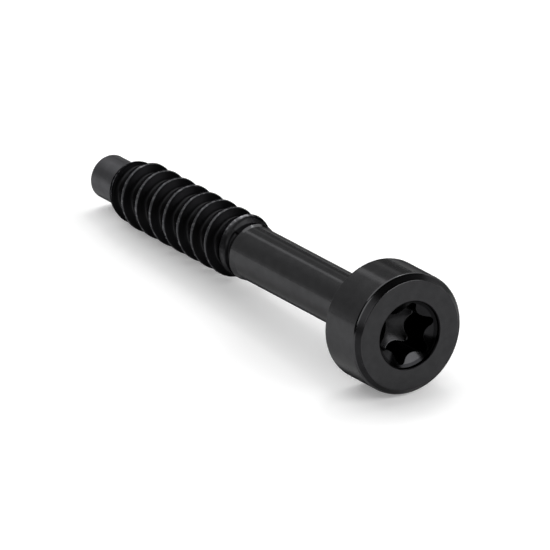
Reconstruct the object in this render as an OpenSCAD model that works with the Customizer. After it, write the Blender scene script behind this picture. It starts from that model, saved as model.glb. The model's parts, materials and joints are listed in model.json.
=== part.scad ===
// Clamp screw: cylindrical head with a six-lobed drive socket, plain shank,
// coarse right-hand thread and a plain dog point, turned and rolled as one piece.
// It lies at rest on the rear rim of its head and on a thread crest near the tip.

/* [Head] */
// Diameter of the head
head_d = 11; // [9.5:0.1:14]
// Height of the head, from its front face to its rear face
head_h = 5.05; // [4.6:0.05:8]
// Chamfer round the front face, at 45 degrees
head_chamfer = 0.55; // [0.1:0.05:1]
// Edge break round the rear rim
rear_break = 0.12; // [0.05:0.01:0.4]
// Fillet between the head and the shank
neck_fillet = 0.35; // [0.1:0.05:0.8]

/* [Socket] */
// Diameter of the round mouth
mouth_d = 6.05; // [5.8:0.05:7]
// Depth of the straight wall below the mouth
mouth_wall = 0.3; // [0.1:0.05:0.8]
// Included angle of the lead-in cone
lead_angle = 120; // [90:1:140]
// Diameter across the lobes
lobe_d = 5.57; // [5.2:0.01:5.75]
// Diameter across the teeth between the lobes
tooth_d = 4.06; // [3.9:0.01:4.2]
// Radius at the tip of a lobe
lobe_round = 0.46; // [0.4:0.01:0.5]
// Depth of the lobes, from the front face to the floor
socket_depth = 3.6; // [2.4:0.05:4]
// Included angle of the conical floor
floor_angle = 140; // [120:1:160]
// Angle of the first lobe about the screw's axis
socket_turn = 46; // [0:1:60]

/* [Shank] */
// Diameter of the shank
shank_d = 4.85; // [4.7:0.05:5.8]
// Length of the shank, from the head to the thread
shank_l = 20.25; // [5:0.25:60]
// Edge break at the shank's end
shank_break = 0.06; // [0.02:0.01:0.1]

/* [Thread] */
// Diameter over the crests
thread_d = 6.1; // [5.5:0.05:7.5]
// Diameter at the root
root_d = 4.55; // [4.3:0.05:4.55]
// Distance from crest to crest
pitch = 2.267; // [1.8:0.001:3]
// Length of the threaded stretch
thread_l = 19.9; // [9:0.1:40]
// Width of the flat on the crest
crest_w = 0.24; // [0.1:0.01:0.4]
// Included angle between the flanks
flank_angle = 58; // [30:1:65]
// Angle about the axis at which the crest line meets the shank's end
thread_turn = 49; // [0:1:360]
// Length over which the ridge is cut down beside the shank
runout_l = 1.7; // [0.8:0.1:3]
// Angle about the axis at which the last groove is filled up
runout_turn = 236; // [0:1:360]
// Length of the slow taper at the thread's start
taper_l = 1.9; // [0.8:0.1:4]
// Amount by which the slow taper lowers the crest
taper_drop = 0.5; // [0.2:0.05:0.6]
// Length of the short bevel that ends the thread
bevel_l = 0.33; // [0.1:0.01:0.8]

/* [Dog point] */
// Diameter of the dog point
dog_d = 4; // [3.4:0.05:4.1]
// Length of the dog point beyond the thread
dog_l = 3.67; // [1.5:0.01:8]
// Edge break at the end of the dog point
dog_break = 0.15; // [0.05:0.01:0.5]
// Step from the end of the thread down to the dog point
dog_step = 0.09; // [0.05:0.01:0.12]

/* [Hidden] */

// Sections in one turn of the thread, and in the arcs of the socket and fillet
turn_steps = 48;
tooth_steps = 8;
lobe_steps = 10;
fillet_steps = 6;
// Depth by which one feature reaches into the next
overlap = 0.8;
// Share of the last groove that is filled up at most, and the angle over which it opens again
filled_share = 0.85;
filled_angle = 170;

head_r = head_d / 2;
shank_r = shank_d / 2;
thread_r = thread_d / 2;
root_r = root_d / 2;
dog_r = dog_d / 2;
mouth_r = mouth_d / 2;

// Places along the axis, from the front face of the head towards the tip
shank_end = head_h + shank_l;
thread_end = shank_end + thread_l;
tip_end = thread_end + dog_l;
stub_start = shank_end - overlap;
runout_end = shank_end + runout_l;
bevel_start = thread_end - bevel_l;
full_end = bevel_start - taper_l;

// Half of the thread's cross-section, as distances from the middle of the crest
crest_half = crest_w / 2;
flank_half = crest_half + (thread_r - root_r) * tan(flank_angle / 2);

// Tooth radius that meets the lobes smoothly
lobe_c = lobe_d / 2 - lobe_round;
tooth_r = (pow(lobe_c, 2) + pow(tooth_d / 2, 2) - lobe_c * tooth_d * cos(30) - pow(lobe_round, 2))
    / (2 * (lobe_round - tooth_d / 2 + lobe_c * cos(30)));
tooth_c = tooth_d / 2 + tooth_r;
lobe_sweep = atan2(tooth_c * sin(30), tooth_c * cos(30) - lobe_c);
tooth_sweep = lobe_sweep - 30;

// Last full crest on the side that faces the floor, which is at 90 degrees about the axis
floor_side = 90;
first_crest = shank_end + pitch * (floor_side - thread_turn) / 360;
rest_crest = first_crest + pitch * floor((full_end - first_crest) / pitch) + crest_half;
rest_rim = head_h - rear_break;
rest_tilt = atan2(head_r - thread_r, rest_crest - rest_rim);

// Ends of the tilted screw along the floor, and the height of its axis at the front face
near_end = -(head_r - head_chamfer) * sin(rest_tilt);
far_end = tip_end * cos(rest_tilt) + (dog_r - dog_break) * sin(rest_tilt);
axis_height = rest_rim * sin(rest_tilt) + head_r * cos(rest_tilt);

function on_circle(r, a) = [r * cos(a), r * sin(a)];
function clamp_to(v, low, high) = min(max(v, low), high);

// Share of the last groove that is filled with squeezed-up metal: most of it just past runout_turn,
// none of it a part of a turn later
function filled_part(a) =
    let (past = (a - runout_turn + 720) % 360)
    filled_share * clamp_to(2 - 2 * past / filled_angle, 0, 1);

// Largest radius of the thread: the run-out rises from the shank's end, and the start is tapered
function crest_limit(z) = lookup(z, [
    [shank_end, root_r],
    [runout_end, thread_r],
    [full_end, thread_r],
    [bevel_start, thread_r - taper_drop],
    [thread_end, min(root_r, dog_r + dog_step)]
]);

// Smallest radius of the thread: the root, or the metal that fills the groove beside the shank
function groove_limit(z, a) = z > runout_end ? root_r
    : root_r + (crest_limit(z) - root_r) * filled_part(a);

// One point of the thread's surface: a step along the helix and a column of the cross-section
columns = [-pitch / 2, -flank_half, -crest_half, crest_half, flank_half];
column_r = [root_r, root_r, thread_r, thread_r, root_r];
first_step = -ceil(overlap / pitch + 2) * turn_steps;
last_step = ceil(thread_l / pitch + 2) * turn_steps;
function thread_point(step, column) =
    let (a = 360 * ((step + 100 * turn_steps) % turn_steps) / turn_steps)
    let (crest_z = shank_end + pitch * (step / turn_steps - thread_turn / 360))
    let (z = clamp_to(crest_z + columns[column], stub_start, thread_end))
    let (r = min(max(column_r[column], groove_limit(z, a)), crest_limit(z)))
    [r * cos(a), r * sin(a), z];

module head_and_shank() {
    fillet_points = [for (i = [0 : fillet_steps])
        [shank_r + neck_fillet, head_h + neck_fillet] + on_circle(neck_fillet, 270 - 90 * i / fillet_steps)];
    rotate_extrude($fn = 96) polygon(concat(
        [
            [0, 0],
            [head_r - head_chamfer, 0],
            [head_r, head_chamfer],
            [head_r, head_h - rear_break],
            [head_r - rear_break, head_h]
        ],
        fillet_points,
        [
            [shank_r, shank_end - shank_break],
            [shank_r - shank_break, shank_end],
            [0, shank_end]
        ]
    ));
}

// Helical ridge and core as one closed skin: rows of points along the helix, joined to the
// next row and, across the root, to the row one turn later
module thread() {
    width = len(columns);
    rows = last_step - first_step;
    points = [for (step = [first_step : last_step], column = [0 : width - 1]) thread_point(step, column)];
    function at(row, column) = column < width ? row * width + column : (row + turn_steps) * width;
    corners = [for (row = [0 : rows - turn_steps - 1], column = [0 : width - 1])
        [at(row, column), at(row + 1, column), at(row + 1, column + 1), at(row, column + 1)]];
    triangles = [for (c = corners, t = [[c[0], c[2], c[1]], [c[0], c[3], c[2]]])
        if (points[t[0]] != points[t[1]] && points[t[1]] != points[t[2]] && points[t[0]] != points[t[2]]) t];
    start_cap = [for (row = [0 : turn_steps - 1]) at(row, 0)];
    end_cap = [for (row = [rows - 1 : -1 : rows - turn_steps]) at(row, 0)];
    polyhedron(points, concat(triangles, [start_cap, end_cap]), convexity = 10);
}

module dog_point() {
    rotate_extrude($fn = 96) polygon([
        [0, thread_end - overlap],
        [dog_r, thread_end - overlap],
        [dog_r, tip_end - dog_break],
        [dog_r - dog_break, tip_end],
        [0, tip_end]
    ]);
}

// Outline of the recess: a lobe arc and a tooth arc, six times, each running into the next
module lobed_outline() {
    polygon([for (i = [0 : 5]) each concat(
        [for (j = [0 : lobe_steps]) on_circle(lobe_c, 60 * i)
            + on_circle(lobe_round, 60 * i - lobe_sweep + 2 * lobe_sweep * j / lobe_steps)],
        [for (j = [1 : tooth_steps - 1]) on_circle(tooth_c, 60 * i + 30)
            + on_circle(tooth_r, 60 * i + 210 + tooth_sweep - 2 * tooth_sweep * j / tooth_steps)]
    )]);
}

module socket() {
    floor_slope = tan(90 - floor_angle / 2);
    lead_slope = tan(90 - lead_angle / 2);
    apex = socket_depth + lobe_d / 2 * floor_slope;
    intersection() {
        rotate([0, 0, socket_turn]) linear_extrude(apex + overlap) lobed_outline();
        rotate_extrude($fn = 96) polygon([
            [0, -overlap],
            [head_r, -overlap],
            [head_r, socket_depth - (head_r - lobe_d / 2) * floor_slope],
            [0, apex]
        ]);
    }
    rotate_extrude($fn = 96) polygon([
        [0, -overlap],
        [mouth_r, -overlap],
        [mouth_r, mouth_wall],
        [0, mouth_wall + mouth_r * lead_slope]
    ]);
}

module clamp_screw() {
    color("#2c2c2e")
    translate([0, -(near_end + far_end) / 2, axis_height])
    rotate([-90 - rest_tilt, 0, 0])
    union() {
        difference() {
            head_and_shank();
            socket();
        }
        thread();
        dog_point();
    }
}

clamp_screw();
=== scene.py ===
import json
import math

import bmesh
import bpy
from mathutils import Matrix, Vector


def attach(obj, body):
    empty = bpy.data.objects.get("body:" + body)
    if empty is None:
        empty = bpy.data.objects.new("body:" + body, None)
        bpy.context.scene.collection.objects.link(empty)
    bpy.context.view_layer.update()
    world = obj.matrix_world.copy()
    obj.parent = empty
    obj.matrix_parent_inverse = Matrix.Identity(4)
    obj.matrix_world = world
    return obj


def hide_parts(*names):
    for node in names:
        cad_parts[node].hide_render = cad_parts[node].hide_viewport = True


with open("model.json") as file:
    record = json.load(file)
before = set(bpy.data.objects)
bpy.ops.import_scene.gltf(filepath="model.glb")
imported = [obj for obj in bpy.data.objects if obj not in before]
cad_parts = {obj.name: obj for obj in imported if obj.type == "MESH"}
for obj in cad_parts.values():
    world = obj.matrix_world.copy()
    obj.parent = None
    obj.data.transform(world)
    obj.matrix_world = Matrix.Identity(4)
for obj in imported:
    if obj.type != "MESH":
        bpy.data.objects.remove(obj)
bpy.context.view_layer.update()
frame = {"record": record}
scene = bpy.context.scene
scene.view_settings.view_transform = "Standard"


# Blackened steel
# The whole screw is one piece of alloy steel, cold formed, rolled and punched, then blackened in a
# hot salt bath and oiled. The oxide is about a thousandth of a millimetre thick: it keeps the
# metal's satin sheen, takes nearly all of its light, and wears thin on the sharpest edges.
MM = 0.001
OXIDE = "#3d3d3e"
FACE_OXIDE = "#323233"
# Painted shade: the chamfer is darker than the oxide to stand in for the dark surroundings it
# mirrors
CHAMFER_PAINTED_SHADE = "#242425"
# Painted shade: the socket's walls and tooth facets are darker than the oxide outside, as shade
# inside the recess
SOCKET_PAINTED_SHADE = "#202021"
# Painted shade: the socket's floor is darker than the oxide outside, as shade at the bottom of the
# recess
SOCKET_FLOOR_PAINTED_SHADE = "#2a2a2b"
# Painted shade: a dark ring round the socket's mouth and down the lead-in strips of the lobes
MOUTH_RING_PAINTED_SHADE = "#121213"
# The rolled flanks' own dull tone, made darker still as painted shade in the thread's grooves and
# in the run-out's last groove
FLANK_DULL_AND_SHADE = "#0f0f10"
# Painted highlight: a lighter line at the foot of each flank on the head's side, where the root's
# fillet would catch the light
FOOT_PAINTED_HIGHLIGHT = "#29292a"
RUNOUT_OXIDE = "#2b2b2c"
CREST_OXIDE = "#4c4c4e"
WORN = "#747476"
DOG_OXIDE = "#4b4b4d"
SATIN_EDGE = "#cbcbcb"
DULL_EDGE = "#6c6c6c"


def linear(hex_colour):
    """Linear colour of an sRGB hex value."""
    shares = [int(hex_colour[i : i + 2], 16) / 255 for i in (1, 3, 5)]
    return [s / 12.92 if s <= 0.04045 else ((s + 0.055) / 1.055) ** 2.4 for s in shares] + [1.0]


def add(tree, kind, feeds=None, **settings):
    """Adds a node, sets it up, and feeds its inputs with values, sockets or other nodes."""
    made = tree.nodes.new(kind)
    for name, value in settings.items():
        setattr(made, name, value)
    for name, value in (feeds or {}).items():
        if isinstance(value, bpy.types.Node):
            value = value.outputs[0]
        if isinstance(value, bpy.types.NodeSocket):
            tree.links.new(value, made.inputs[name])
        else:
            made.inputs[name].default_value = value
    return made


# The screw's own frame: z runs from the front face of the head along the axis to the tip
seat = next(m for m in frame["record"]["mounts"] if m["name"] == "drive_socket")
along = -Vector(seat["axis"])
across = Vector((1, 0, 0))
place = Matrix((across, along.cross(across), along)).transposed().to_4x4()
place.translation = Vector(seat["pos_m"])

HEAD_H, SHANK_L, THREAD_L, DOG_L = 5.05 * MM, 20.25 * MM, 19.9 * MM, 3.67 * MM
SHANK_END = HEAD_H + SHANK_L
THREAD_END = SHANK_END + THREAD_L
MATH, RANGE, MIX = "ShaderNodeMath", "ShaderNodeMapRange", "ShaderNodeMix"
NOISE = "ShaderNodeTexNoise"
# Sockets of a Mix node that mixes colours, and of one that mixes numbers
COLOUR_A, COLOUR_B, COLOUR_OUT = 6, 7, 2
NUMBER_A, NUMBER_B = 2, 3

steel = bpy.data.materials.new("black_oxide_steel_satin")
steel.use_nodes = True
nodes = steel.node_tree
surface = nodes.nodes["Principled BSDF"]
surface.inputs["Metallic"].default_value = 1.0
from_axis = place.inverted()
local = add(nodes, "ShaderNodeMapping", {
    "Vector": add(nodes, "ShaderNodeTexCoord").outputs["Object"],
    "Location": from_axis.translation, "Rotation": from_axis.to_euler()})
local_xyz = add(nodes, "ShaderNodeSeparateXYZ", {0: local}).outputs
local_xy = add(nodes, "ShaderNodeCombineXYZ", {0: local_xyz["X"], 1: local_xyz["Y"]})
from_middle = add(
    nodes, "ShaderNodeVectorMath", {0: local_xy}, operation="LENGTH").outputs["Value"]
along_axis = local_xyz["Z"]


def between(value, low, high, soft):
    """Mask that is 1 where a length lies between two limits, with soft ends."""
    above = add(nodes, RANGE, {"Value": value, "From Min": low - soft, "From Max": low + soft})
    below = add(nodes, RANGE, {"Value": value, "From Min": high + soft, "From Max": high - soft})
    return add(nodes, MATH, {0: above, 1: below}, operation="MULTIPLY")


def zone(radii, places, soft_radius, soft_place):
    """Mask of the surface between two radii from the axis and two places along it."""
    at_radius = between(from_middle, *radii, soft_radius)
    at_place = between(along_axis, *places, soft_place)
    return add(nodes, MATH, {0: at_radius, 1: at_place}, operation="MULTIPLY")


# Zones that differ in tone or gloss, each with its limits a little past the edges it follows
BEFORE, BEYOND = -1 * MM, 99 * MM
SHARP, SOFT = 0.01 * MM, 0.02 * MM
FACE_INNER, FACE_DEPTH = 3.1 * MM, 0.02 * MM
CHAMFER_INNER, CHAMFER_DEPTH = 4.99 * MM, 0.43 * MM
SOCKET_OUTER = 3.15 * MM
FLOOR_OUTER, FLOOR_TOP = 2.9 * MM, 3.35 * MM
MOUTH_INNER, MOUTH_OUTER, MOUTH_DEPTH = 2.74 * MM, 3.14 * MM, 0.5 * MM
ROOT_OUTER, GROOVE_OUTER = 2.31 * MM, 2.44 * MM
LIP_REACH, RUNOUT_REACH = 0.55 * MM, 1.25 * MM
RUNOUT_WEAR = 0.12

on_face = zone((FACE_INNER, BEYOND), (BEFORE, FACE_DEPTH), SOFT, SHARP)
on_chamfer = zone((CHAMFER_INNER, BEYOND), (BEFORE, CHAMFER_DEPTH), SOFT, SOFT)
in_socket = zone((BEFORE, SOCKET_OUTER), (FACE_DEPTH, HEAD_H), SOFT, SHARP)
on_floor = zone((BEFORE, FLOOR_OUTER), (FLOOR_TOP, HEAD_H), SOFT, 0.05 * MM)
# The mouth's ring is painted shade
on_mouth = zone((MOUTH_INNER, MOUTH_OUTER), (BEFORE, MOUTH_DEPTH), SOFT, SOFT)
on_dog = between(along_axis, THREAD_END, BEYOND, SOFT)
on_thread = between(along_axis, SHANK_END + SHARP, THREAD_END, SHARP)
past_runout = between(along_axis, SHANK_END + RUNOUT_REACH, THREAD_END, 0.1 * MM)
runout_only = add(nodes, MATH, {0: on_thread, 1: past_runout}, operation="SUBTRACT")
# Where the run-out sits low or near the lip it keeps the flanks' dark tone: painted shade in the
# last groove and along the shank's end
off_lip = zone((GROOVE_OUTER, BEYOND), (SHANK_END + LIP_REACH, THREAD_END), 0.03 * MM, 0.06 * MM)
on_runout = add(nodes, MATH, {0: runout_only, 1: off_lip}, operation="MULTIPLY")

# The thread's tree marks its crest, and the foot of each flank on the head's side for a painted
# highlight
crest = add(nodes, "ShaderNodeAttribute", attribute_name="crest").outputs["Fac"]
full_crest = add(nodes, RANGE, {"Value": past_runout, "To Min": RUNOUT_WEAR, "To Max": 1.0})
on_crest = add(nodes, MATH, {0: crest, 1: full_crest}, operation="MULTIPLY")
foot = add(nodes, "ShaderNodeAttribute", attribute_name="foot").outputs["Fac"]
near_root = between(from_middle, BEFORE, ROOT_OUTER, 0.03 * MM)
on_foot_highlight = add(nodes, MATH, {0: near_root, 1: foot}, operation="MULTIPLY")

# The bath leaves faint blotches about a millimetre wide, and handling scuffs the crests
BLOTCH, SCUFF = 0.9 * MM, 0.35 * MM
blotches = add(nodes, NOISE, {"Vector": local, "Scale": 1 / BLOTCH, "Detail": 3.0}).outputs[0]
scuffs = add(nodes, NOISE, {"Vector": local, "Scale": 1 / SCUFF, "Detail": 2.0}).outputs[0]
worn = add(nodes, RANGE, {"Value": scuffs, "From Min": 0.5, "From Max": 0.66})
crest_tone = add(nodes, MIX, {
    0: worn, COLOUR_A: linear(CREST_OXIDE), COLOUR_B: linear(WORN)}, data_type="RGBA")
# The flanks' dark tone doubles as painted shade in the grooves, and the foot of each flank gets a
# painted highlight
flank_shade_and_highlight = add(nodes, MIX, {
    0: on_foot_highlight, COLOUR_A: linear(FLANK_DULL_AND_SHADE), COLOUR_B: linear(FOOT_PAINTED_HIGHLIGHT)}, data_type="RGBA")
tone = linear(OXIDE)
for mask, colour in (
        (on_face, linear(FACE_OXIDE)),
        (on_chamfer, linear(CHAMFER_PAINTED_SHADE)),
        (in_socket, linear(SOCKET_PAINTED_SHADE)),
        (on_floor, linear(SOCKET_FLOOR_PAINTED_SHADE)),
        (on_mouth, linear(MOUTH_RING_PAINTED_SHADE)),
        (on_thread, flank_shade_and_highlight.outputs[COLOUR_OUT]),
        (on_runout, linear(RUNOUT_OXIDE)),
        (on_crest, crest_tone.outputs[COLOUR_OUT]),
        (on_dog, linear(DOG_OXIDE))):
    mixed = add(nodes, MIX, {0: mask, COLOUR_A: tone, COLOUR_B: colour}, data_type="RGBA")
    tone = mixed.outputs[COLOUR_OUT]
patchy = add(nodes, RANGE, {
    "Value": blotches, "From Min": 0.3, "From Max": 0.7, "To Min": 0.9, "To Max": 1.1})
tone = add(
    nodes, "ShaderNodeVectorMath", {0: tone, "Scale": patchy.outputs[0]}, operation="SCALE")
nodes.links.new(tone.outputs[0], surface.inputs["Base Color"])

# The rolled flanks are dull, the dog point, crests, chamfer and socket floor less so, and the
# rest is satin
SATIN_ROUGH, GLANCING_ROUGH = 0.16, 0.75
roughness = SATIN_ROUGH
for mask, rough in (
        (on_chamfer, 0.28),
        (on_floor, 0.25),
        (on_thread, 0.42),
        (on_crest, 0.3),
        (on_dog, 0.34)):
    roughness = add(nodes, MIX, {0: mask, NUMBER_A: roughness, NUMBER_B: rough}).outputs[0]
# At a glancing angle the oxide's fine grain hides the mirror image, and so do the rough flanks
turned_away = add(nodes, "ShaderNodeLayerWeight", {"Blend": 0.5}).outputs["Facing"]
glance = add(nodes, RANGE, {"Value": turned_away, "From Min": 0.7, "From Max": 0.9})
limb = add(nodes, RANGE, {"Value": turned_away, "From Min": 0.78, "From Max": 0.9})
dull = add(nodes, MATH, {0: on_thread, 1: limb}, operation="MAXIMUM")
tint = add(nodes, MIX, {
    0: dull, COLOUR_A: linear(SATIN_EDGE), COLOUR_B: linear(DULL_EDGE)}, data_type="RGBA")
nodes.links.new(tint.outputs[COLOUR_OUT], surface.inputs["Specular Tint"])
roughness = add(nodes, MIX, {0: glance, NUMBER_A: roughness, NUMBER_B: GLANCING_ROUGH}).outputs[0]
nodes.links.new(roughness, surface.inputs["Roughness"])

# The grain of the flanks is finer than this in fact; it is drawn as coarse as can be seen
GRAIN, PLAIN_RELIEF, FLANK_RELIEF = 0.14 * MM, 0.0004 * MM, 0.006 * MM
grain = add(nodes, NOISE, {"Vector": local, "Scale": 1 / GRAIN, "Detail": 2.0}).outputs[0]
depth = add(nodes, MIX, {0: on_thread, NUMBER_A: PLAIN_RELIEF, NUMBER_B: FLANK_RELIEF})
height = add(nodes, MATH, {0: grain, 1: depth.outputs[0]}, operation="MULTIPLY")
relief = add(nodes, "ShaderNodeBump", {"Height": height, "Distance": 1.0})
nodes.links.new(relief.outputs[0], surface.inputs["Normal"])


# Thread
# A coarse right-hand thread, rolled into the blank between two dies: the root is squeezed down
# below the shank and the metal flows up into a narrow crest. It fades out beside the shank, where
# the dies ended, and tapers towards the dog point so that it can start in its hole.
SIDES, SECTION_ROWS, ROW_EASE = 216, 28, 0.65
FIRST_TURN, TURNS = -1, 11
ROOT_R, DOG_R, DOG_STEP, LIP_R = 2.275 * MM, 2.0 * MM, 0.09 * MM, 2.34 * MM
RUNOUT_TURN, FILLED_TURN, FILLED_SHARE = 236 / 360, 170 / 360, 0.85
MERGE = 0.001 * MM

thread_tree = bpy.data.node_groups.new("rolled_thread", "GeometryNodeTree")
thread_tree.interface.new_socket("Geometry", in_out="OUTPUT", socket_type="NodeSocketGeometry")
thread_sizes = {
    "Start": SHANK_END,
    "End": THREAD_END,
    "Pitch": 2.267 * MM,
    "Crest Radius": 3.05 * MM,
    "Root Radius": ROOT_R,
    "Half Crest": 0.12 * MM,
    "Worn Edge": 0.04 * MM,
    "Flank Slope": 1 / math.tan(math.radians(29)),
    "Crest Rounding": 0.08 * MM,
    "Root Fillet": 0.25 * MM,
    "Crest Turn": 49 / 360,
    "Run-out Length": 1.7 * MM,
    "Run-out Turn": RUNOUT_TURN,
    "Filled Turn": FILLED_TURN,
    "Filled Share": FILLED_SHARE,
    "Lip Radius": LIP_R,
    "Run-out Rounding": 0.2 * MM,
    "Taper Length": 1.9 * MM,
    "Taper Drop": 0.5 * MM,
    "Bevel Length": 0.33 * MM,
    "End Radius": DOG_R + DOG_STEP,
    "Burrs per Metre": 1 / (0.25 * MM),
    "Crest Burr": 0.03 * MM,
    "Run-out Burr": 0.05 * MM,
}
for name in thread_sizes:
    thread_tree.interface.new_socket(name, in_out="INPUT", socket_type="NodeSocketFloat")
thread_tree.interface.new_socket("Finish", in_out="INPUT", socket_type="NodeSocketMaterial")
size = thread_tree.nodes.new("NodeGroupInput").outputs

# A flat strip that is to be wound up: x runs along the turns and y across one pitch
strip = add(thread_tree, "GeometryNodeMeshGrid", {
    "Size X": 1.0, "Size Y": 1.0,
    "Vertices X": TURNS * SIDES + 1, "Vertices Y": SECTION_ROWS + 1})
flat = add(thread_tree, "ShaderNodeSeparateXYZ", {
    0: add(thread_tree, "GeometryNodeInputPosition")}).outputs
turn = add(thread_tree, MATH, {
    0: flat["X"], 1: TURNS, 2: TURNS / 2 + FIRST_TURN}, operation="MULTIPLY_ADD")
angle = add(thread_tree, MATH, {0: turn, 1: 2 * math.pi}, operation="MULTIPLY")

# Rows across the section stand closer together near the crest
row = add(thread_tree, MATH, {0: flat["Y"], 1: 2.0}, operation="MULTIPLY")
row_square = add(thread_tree, MATH, {0: row, 1: row}, operation="MULTIPLY")
spread = add(thread_tree, MATH, {
    0: row_square, 1: ROW_EASE, 2: 1 - ROW_EASE}, operation="MULTIPLY_ADD")
half_pitches = add(thread_tree, MATH, {0: row, 1: spread}, operation="MULTIPLY")
pitches = add(thread_tree, MATH, {0: half_pitches, 1: 0.5}, operation="MULTIPLY")
offset = add(thread_tree, MATH, {0: pitches, 1: size["Pitch"]}, operation="MULTIPLY")
crest_turn = add(thread_tree, MATH, {0: turn, 1: size["Crest Turn"]}, operation="SUBTRACT")
crest_z = add(thread_tree, MATH, {
    0: crest_turn, 1: size["Pitch"], 2: size["Start"]}, operation="MULTIPLY_ADD")
free_z = add(thread_tree, MATH, {0: crest_z, 1: offset}, operation="ADD")
z = add(thread_tree, "ShaderNodeClamp", {
    "Value": free_z, "Min": size["Start"], "Max": size["End"]})
from_start = add(thread_tree, MATH, {0: z, 1: size["Start"]}, operation="SUBTRACT")

# Flat crest, straight flanks and flat root, with the corners between them rounded
aside = add(thread_tree, MATH, {0: offset}, operation="ABSOLUTE")
past_crest = add(thread_tree, MATH, {0: aside, 1: size["Half Crest"]}, operation="SUBTRACT")
fall = add(thread_tree, MATH, {0: past_crest, 1: size["Flank Slope"]}, operation="MULTIPLY")
flank = add(thread_tree, MATH, {0: size["Crest Radius"], 1: fall}, operation="SUBTRACT")
filleted = add(thread_tree, MATH, {
    0: flank, 1: size["Root Radius"], 2: size["Root Fillet"]}, operation="SMOOTH_MAX")
ridge = add(thread_tree, MATH, {
    0: filleted, 1: size["Crest Radius"], 2: size["Crest Rounding"]}, operation="SMOOTH_MIN")

# Marks for the tone: the crest, and the foot of the flank on the head's side for a painted
# highlight
crest_mark = add(thread_tree, RANGE, {
    "Value": past_crest, "From Min": 0.0, "From Max": size["Worn Edge"],
    "To Min": 1.0, "To Max": 0.0})
half_back = add(thread_tree, MATH, {0: size["Pitch"], 1: -0.5}, operation="MULTIPLY")
quarter_back = add(thread_tree, MATH, {0: size["Pitch"], 1: -0.25}, operation="MULTIPLY")
foot_share = add(thread_tree, RANGE, {
    "Value": offset, "From Min": half_back, "From Max": quarter_back})
head_side = add(thread_tree, MATH, {0: offset, 1: 0.0}, operation="LESS_THAN")
foot_mark = add(thread_tree, MATH, {0: foot_share, 1: head_side}, operation="MULTIPLY")

# Run-out beside the shank, with the last groove filled by squeezed-up metal over part of a turn
runout_end = add(thread_tree, MATH, {0: size["Start"], 1: size["Run-out Length"]}, operation="ADD")
turn_past = add(thread_tree, MATH, {0: turn, 1: size["Run-out Turn"]}, operation="SUBTRACT")
part_past = add(thread_tree, MATH, {0: turn_past, 1: 1.0}, operation="FLOORED_MODULO")
half_filled = add(thread_tree, MATH, {0: size["Filled Turn"], 1: 0.5}, operation="MULTIPLY")
filled = add(thread_tree, RANGE, {
    "Value": part_past, "From Min": half_filled, "From Max": size["Filled Turn"],
    "To Min": size["Filled Share"], "To Max": 0.0})
lip_height = add(thread_tree, MATH, {
    0: size["Lip Radius"], 1: size["Root Radius"]}, operation="SUBTRACT")
lip_r = add(thread_tree, MATH, {
    0: lip_height, 1: filled, 2: size["Root Radius"]}, operation="MULTIPLY_ADD")
runout = add(thread_tree, RANGE, {
    "Value": z, "From Min": size["Start"], "From Max": runout_end,
    "To Min": lip_r, "To Max": size["Crest Radius"]})
runout_height = add(thread_tree, MATH, {0: runout, 1: lip_r}, operation="SUBTRACT")
filled_r = add(thread_tree, MATH, {
    0: runout_height, 1: filled, 2: lip_r}, operation="MULTIPLY_ADD")
in_runout = add(thread_tree, MATH, {0: z, 1: runout_end}, operation="LESS_THAN")
groove_r = add(thread_tree, MATH, {0: filled_r, 1: in_runout}, operation="MULTIPLY")
raised = add(thread_tree, MATH, {0: ridge, 1: groove_r}, operation="MAXIMUM")
cut_rounding = add(thread_tree, RANGE, {
    "Value": from_start, "From Min": 0.0, "From Max": size["Run-out Length"],
    "To Min": 0.0, "To Max": size["Run-out Rounding"]})
cut_down = add(thread_tree, MATH, {0: raised, 1: runout, 2: cut_rounding}, operation="SMOOTH_MIN")

# Slow taper and short bevel at the start of the thread
bevel_start = add(thread_tree, MATH, {
    0: size["End"], 1: size["Bevel Length"]}, operation="SUBTRACT")
taper_start = add(thread_tree, MATH, {
    0: bevel_start, 1: size["Taper Length"]}, operation="SUBTRACT")
taper = add(thread_tree, RANGE, {
    "Value": z, "From Min": taper_start, "From Max": bevel_start,
    "To Min": 0.0, "To Max": size["Taper Drop"]})
tapered = add(thread_tree, MATH, {0: size["Crest Radius"], 1: taper}, operation="SUBTRACT")
bevelled = add(thread_tree, RANGE, {
    "Value": z, "From Min": bevel_start, "From Max": size["End"],
    "To Min": tapered, "To Max": size["End Radius"]})
radius = add(thread_tree, MATH, {0: cut_down, 1: bevelled}, operation="MINIMUM")

# Burrs: the crest is a little ragged, and the squeezed-up metal beside the shank more so
cosine = add(thread_tree, MATH, {0: angle}, operation="COSINE")
sine = add(thread_tree, MATH, {0: angle}, operation="SINE")
smooth_x = add(thread_tree, MATH, {0: radius, 1: cosine}, operation="MULTIPLY")
smooth_y = add(thread_tree, MATH, {0: radius, 1: sine}, operation="MULTIPLY")
smooth = add(thread_tree, "ShaderNodeCombineXYZ", {0: smooth_x, 1: smooth_y, 2: z})
rag = add(thread_tree, NOISE, {
    "Vector": smooth, "Scale": size["Burrs per Metre"], "Detail": 1.0})
to_end = add(thread_tree, MATH, {0: size["End"], 1: z}, operation="SUBTRACT")
from_ends = add(thread_tree, MATH, {0: from_start, 1: to_end}, operation="MINIMUM")
let_in = add(thread_tree, RANGE, {
    "Value": from_ends, "From Min": 0.0, "From Max": size["Bevel Length"]})
burr_height = add(thread_tree, RANGE, {
    "Value": from_start, "From Min": 0.0, "From Max": size["Run-out Length"],
    "To Min": size["Run-out Burr"], "To Max": size["Crest Burr"]})
burr = add(thread_tree, MATH, {0: rag.outputs[0], 1: burr_height}, operation="MULTIPLY")
burr_let_in = add(thread_tree, MATH, {0: burr, 1: let_in}, operation="MULTIPLY")
ragged = add(thread_tree, MATH, {0: radius, 1: burr_let_in}, operation="SUBTRACT")
x = add(thread_tree, MATH, {0: ragged, 1: cosine}, operation="MULTIPLY")
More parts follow.
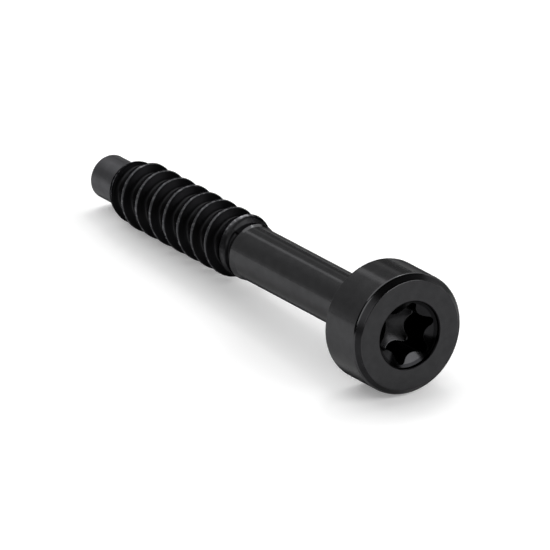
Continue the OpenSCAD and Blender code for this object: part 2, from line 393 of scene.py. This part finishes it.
y = add(thread_tree, MATH, {0: ragged, 1: sine}, operation="MULTIPLY")

# The strip gets its marks, is wound up, and is joined along the root from turn to turn
marked = strip.outputs["Mesh"]
for name, mark in (("crest", crest_mark), ("foot", foot_mark)):
    marked = add(thread_tree, "GeometryNodeStoreNamedAttribute", {
        "Geometry": marked, "Name": name, "Value": mark}, data_type="FLOAT", domain="POINT")
wound = add(thread_tree, "GeometryNodeSetPosition", {
    "Geometry": marked,
    "Position": add(thread_tree, "ShaderNodeCombineXYZ", {0: x, 1: y, 2: z})})
joined = add(thread_tree, "GeometryNodeMergeByDistance", {"Geometry": wound, "Distance": MERGE})
real = add(thread_tree, "GeometryNodeRealizeInstances", {"Geometry": joined})
finished = add(thread_tree, "GeometryNodeSetMaterial", {
    "Geometry": real, "Material": size["Finish"]})
add(thread_tree, "NodeGroupOutput", {"Geometry": finished})

thread = bpy.data.objects.new("thread", bpy.data.meshes.new("thread"))
scene.collection.objects.link(thread)
winding = thread.modifiers.new("rolled_thread", "NODES")
winding.node_group = thread_tree
for item in thread_tree.interface.items_tree:
    if item.name in thread_sizes:
        winding[item.identifier] = thread_sizes[item.name]
    elif item.name == "Finish":
        winding[item.identifier] = steel
evaluated = thread.evaluated_get(bpy.context.evaluated_depsgraph_get())
thread_mesh = bpy.data.meshes.new_from_object(evaluated)
bpy.data.objects.remove(thread)


# Head, socket, shank and dog point
# Formed on the same blank and turned: a cylindrical head with a chamfered face, a plain shank with
# a small fillet under the head, and a plain dog point. The six-lobed socket is punched into the
# face through a round mouth, whose lead-in cone cuts a slanting facet into the top of each tooth.
HEAD_R, CHAMFER, REAR_BREAK, FILLET = 5.5 * MM, 0.55 * MM, 0.12 * MM, 0.35 * MM
SHANK_R, SHANK_BREAK = 2.425 * MM, 0.06 * MM
DOG_BREAK, TIP_END = 0.15 * MM, THREAD_END + DOG_L
MOUTH_R, MOUTH_WALL, LEAD_SLOPE = 3.025 * MM, 0.3 * MM, math.tan(math.radians(30))
LOBE_R, LOBE_ROUND, LOBE_TURN, TOOTH_TIP = 2.785 * MM, 0.46 * MM, math.radians(46), 2.03 * MM
SOCKET_DEPTH, FLOOR_SLOPE = 3.6 * MM, math.tan(math.radians(20))
# Metal squeezed over the shank's end, lap by lap: start and width in turns past the run-out's
# turn, height, and length along the shank. Elsewhere the end stands a hair proud, because
# rounded() needs a corner there.
LAP_MIN, LAP_L, LAP_FULLNESS = 0.002 * MM, 0.42 * MM, 0.7
LAPS = [(0.02, 0.30, 0.16 * MM, LAP_L), (0.60, 0.24, 0.15 * MM, 0.9 * MM)]
# Steps in a rounded corner, and how far from it a row holds the faces beside it flat
ARC_STEPS, HOLD = 6, 0.03 * MM


def socket_radius(turned):
    """Radius of the lobed outline: a lobe's arc and a tooth's arc, each running into the other."""
    lobe_c = LOBE_R - LOBE_ROUND
    cos30 = math.cos(math.radians(30))
    tooth_r = (lobe_c**2 + TOOTH_TIP**2 - 2 * lobe_c * TOOTH_TIP * cos30 - LOBE_ROUND**2) / (
        2 * (LOBE_ROUND - TOOTH_TIP + lobe_c * cos30))
    tooth_c = TOOTH_TIP + tooth_r
    joint = math.atan2(tooth_c / 2, tooth_c * cos30 - lobe_c)
    joint_at = math.atan2(LOBE_ROUND * math.sin(joint), lobe_c + LOBE_ROUND * math.cos(joint))
    sixth = math.radians(60)
    beside = abs((turned - LOBE_TURN + sixth / 2) % sixth - sixth / 2)
    if beside < joint_at:
        reach = math.sqrt(LOBE_ROUND**2 - (lobe_c * math.sin(beside)) ** 2)
        return lobe_c * math.cos(beside) + reach
    beside = sixth / 2 - beside
    return tooth_c * math.cos(beside) - math.sqrt(tooth_r**2 - (tooth_c * math.sin(beside)) ** 2)


def rounded(corners):
    """Profile through corners (radius, place, rounding), with an arc at each corner and a row held
    close to each end of an arc so that flat faces stay flat under smooth shading."""
    points = [Vector(corners[0][:2])]
    for before, (r, at, rounding), after in zip(corners, corners[1:], corners[2:]):
        corner = Vector((r, at))
        back = (Vector(before[:2]) - corner).normalized()
        on = (Vector(after[:2]) - corner).normalized()
        half = back.angle(on) / 2
        reach = rounding / math.tan(half)
        centre = corner + (back + on).normalized() * rounding / math.sin(half)
        start, end = corner + back * reach - centre, corner + on * reach - centre
        sweep = start.angle_signed(end)
        points.append(centre + start + back * HOLD)
        for step in range(ARC_STEPS + 1):
            points.append(centre + Matrix.Rotation(-sweep * step / ARC_STEPS, 2) @ start)
        points.append(centre + end + on * HOLD)
    return points + [Vector(corners[-1][:2])]


def turned_skin(skin, profile):
    """Adds a turned surface to a mesh under construction; profile gives the section at an angle."""
    columns = []
    for side in range(SIDES):
        a = 2 * math.pi * side / SIDES
        columns.append([
            skin.verts.new((r * math.cos(a), r * math.sin(a), at)) for r, at in profile(a)])
    for one, other in zip(columns, columns[1:] + columns[:1]):
        for i in range(len(one) - 1):
            skin.faces.new((one[i], other[i], other[i + 1], one[i + 1]))


def head_and_shank(a):
    """Section from the middle of the socket's floor over the head to the end of the shank."""
    r = socket_radius(a)
    past = (a / (2 * math.pi) - RUNOUT_TURN) % 1.0
    share = FILLED_SHARE * min(max(2 - 2 * past / FILLED_TURN, 0), 1)
    lift, lap_l = LAP_MIN, LAP_L
    for start, width, rise, length in LAPS:
        if start < past < start + width:
            lift += rise * math.sin(math.pi * (past - start) / width) ** LAP_FULLNESS
            lap_l = length
    return rounded([
        (0, SOCKET_DEPTH + LOBE_R * FLOOR_SLOPE, 0),
        (r, SOCKET_DEPTH + (LOBE_R - r) * FLOOR_SLOPE, 0.25 * MM),
        (r, MOUTH_WALL + (MOUTH_R - r) * LEAD_SLOPE, 0.06 * MM),
        (MOUTH_R, MOUTH_WALL, 0.05 * MM),
        (MOUTH_R, 0, 0.13 * MM),
        (HEAD_R - CHAMFER, 0, 0.12 * MM),
        (HEAD_R, CHAMFER, 0.25 * MM),
        (HEAD_R, HEAD_H - REAR_BREAK, 0.06 * MM),
        (HEAD_R - REAR_BREAK, HEAD_H, 0.06 * MM),
        (SHANK_R, HEAD_H, FILLET),
        (SHANK_R, SHANK_END - lap_l, 0.1 * MM),
        (SHANK_R + lift, SHANK_END - SHANK_BREAK, 0.03 * MM),
        (SHANK_R + lift - SHANK_BREAK, SHANK_END, 0.015 * MM),
        (ROOT_R + (LIP_R - ROOT_R) * share, SHANK_END, 0),
    ])


def dog_point(a):
    """Section from the end of the thread over the dog point to the middle of its end face."""
    return rounded([
        (DOG_R + DOG_STEP, THREAD_END, 0),
        (DOG_R, THREAD_END, 0.03 * MM),
        (DOG_R, TIP_END - DOG_BREAK, 0.08 * MM),
        (DOG_R - DOG_BREAK, TIP_END, 0.08 * MM),
        (0, TIP_END, 0),
    ])


skin = bmesh.new()
skin.from_mesh(thread_mesh)
turned_skin(skin, head_and_shank)
turned_skin(skin, dog_point)
bmesh.ops.remove_doubles(skin, verts=skin.verts, dist=MERGE)
bmesh.ops.dissolve_degenerate(skin, edges=skin.edges, dist=MERGE / 2)
bmesh.ops.recalc_face_normals(skin, faces=skin.faces)
skin.transform(place)
screw_mesh = bpy.data.meshes.new("clamp_screw_body")
skin.to_mesh(screw_mesh)
skin.free()
bpy.data.meshes.remove(thread_mesh)
screw_mesh.materials.clear()
screw_mesh.materials.append(steel)
screw_mesh.shade_smooth()
screw = bpy.data.objects.new("clamp_screw_body", screw_mesh)
scene.collection.objects.link(screw)
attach(screw, "root")
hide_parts("clamp_screw")


# Floor
# A sheet of smooth white card, wide enough to fill the picture. It is lit from above and glows a
# little for the camera and in reflections, so that it reads as plain white and keeps the shadow.
CARD, CARD_GLOW, HALF_WIDE = "#f2f2f2", 0.21, 3.0
floor_mesh = bpy.data.meshes.new("floor")
floor_corners = [(-1, -1), (1, -1), (1, 1), (-1, 1)]
floor_mesh.from_pydata(
    [(HALF_WIDE * to_x, HALF_WIDE * to_y, 0) for to_x, to_y in floor_corners], [], [(0, 1, 2, 3)])
floor = bpy.data.objects.new("floor", floor_mesh)
scene.collection.objects.link(floor)
card = bpy.data.materials.new("white_card_matt")
card.use_nodes = True
paper = card.node_tree
matt = paper.nodes["Principled BSDF"]
matt.inputs["Base Color"].default_value = linear(CARD)
matt.inputs["Roughness"].default_value = 1.0
matt.inputs["Specular IOR Level"].default_value = 0.0
matt.inputs["Emission Color"].default_value = linear("#ffffff")
path = add(paper, "ShaderNodeLightPath").outputs
seen = add(paper, MATH, {
    0: path["Is Camera Ray"], 1: path["Is Glossy Ray"]}, operation="MAXIMUM")
seen_all = add(paper, MATH, {0: seen, 1: path["Is Transmission Ray"]}, operation="MAXIMUM")
glow = add(paper, MATH, {0: seen_all, 1: CARD_GLOW}, operation="MULTIPLY")
paper.links.new(glow.outputs[0], matt.inputs["Emission Strength"])
floor_mesh.materials.append(card)


# Light
# A wide soft box and a small lamp above and behind give the floor its white and the soft shadow.
# A soft box and low reflectors at the front right light the face and the socket, and the sides of
# the screw mirror dim walls, strips and a skirting round a nearly dark room.
ROOM = "#272727"


def soft_box(name, at, aim, wide, high, radiance):
    """Area light that sends out the given radiance from a panel facing its aim."""
    lamp = bpy.data.lights.new(name, "AREA")
    lamp.shape = "RECTANGLE"
    lamp.size, lamp.size_y = wide, high
    lamp.energy = radiance * math.pi * wide * high
    panel = bpy.data.objects.new(name, lamp)
    panel.location = at
    panel.rotation_euler = (Vector(aim) - Vector(at)).to_track_quat("-Z", "Y").to_euler()
    scene.collection.objects.link(panel)


soft_box("soft_box_above", (0.65, 0.82, 1.2), (0.65, 0.82, 0), 3.2, 1.56, 2.05)
soft_box("lamp_above", (0.57, 0.51, 1.18), (0, 0, 0), 0.24, 0.24, 9.0)
soft_box("soft_box_right", (0.53, -0.89, 0.68), (0, 0, 0), 0.98, 0.26, 8.6)
soft_box("reflector_right", (1.0, -0.7, 0.09), (0, 0, 0.05), 1.2, 0.18, 1.4)
soft_box("wall_at_right", (1.35, -0.05, 0.42), (0, 0, 0.1), 0.7, 0.7, 1.6)
soft_box("reflector_front", (0.32, -1.11, 0.31), (0, 0, 0), 0.45, 0.24, 4.6)
soft_box("wall_at_back", (-0.5, 2.0, 0.75), (-0.5, 0, 0.75), 3.4, 1.5, 0.52)
soft_box("wall_at_back_right", (1.7, 1.75, 0.75), (0, 0, 0.75), 1.1, 1.5, 0.28)
soft_box("wall_at_left", (-1.08, -0.91, 0.87), (0, 0, 0), 0.75, 1.1, 2.4)
soft_box("strip_at_back", (0.31, 1.9, 1.2), (0, 0, 0), 0.26, 0.16, 1.65)
soft_box("strip_at_back_right", (1.06, 1.9, 0.8), (0, 0, 0), 0.2, 0.4, 0.22)
soft_box("skirting_at_back", (-1.0, 1.9, 0.13), (-1.0, 0, 0.13), 2.4, 0.26, 0.18)
world = bpy.data.worlds.new("dark_room")
scene.world = world
world.use_nodes = True
world.node_tree.nodes["Background"].inputs["Color"].default_value = linear(ROOM)


# Camera
# A long lens from the front left and above, nearly without perspective, framed as the photograph.
# The middle of the frame lies left of and above the middle of the head's face.
AZIMUTH, ELEVATION, DISTANCE = math.radians(-32.56), math.radians(24.3), 1.75
FRAME_WIDTH, FRAME_LEFT, FRAME_UP = 47.42 * MM, 11.63 * MM, 5.21 * MM
SENSOR, CLIP_END = 36, 20
back = Vector((
    math.sin(AZIMUTH) * math.cos(ELEVATION),
    -math.cos(AZIMUTH) * math.cos(ELEVATION),
    math.sin(ELEVATION)))
right = Vector((math.cos(AZIMUTH), math.sin(AZIMUTH), 0))
up = back.cross(right)
lens = bpy.data.cameras.new("camera")
lens.sensor_width = SENSOR
lens.lens = SENSOR * DISTANCE / FRAME_WIDTH
lens.clip_end = CLIP_END
camera = bpy.data.objects.new("camera", lens)
camera.location = place.translation - right * FRAME_LEFT + up * FRAME_UP + back * DISTANCE
camera.rotation_euler = Matrix((right, up, back)).transposed().to_euler()
scene.collection.objects.link(camera)
scene.camera = camera
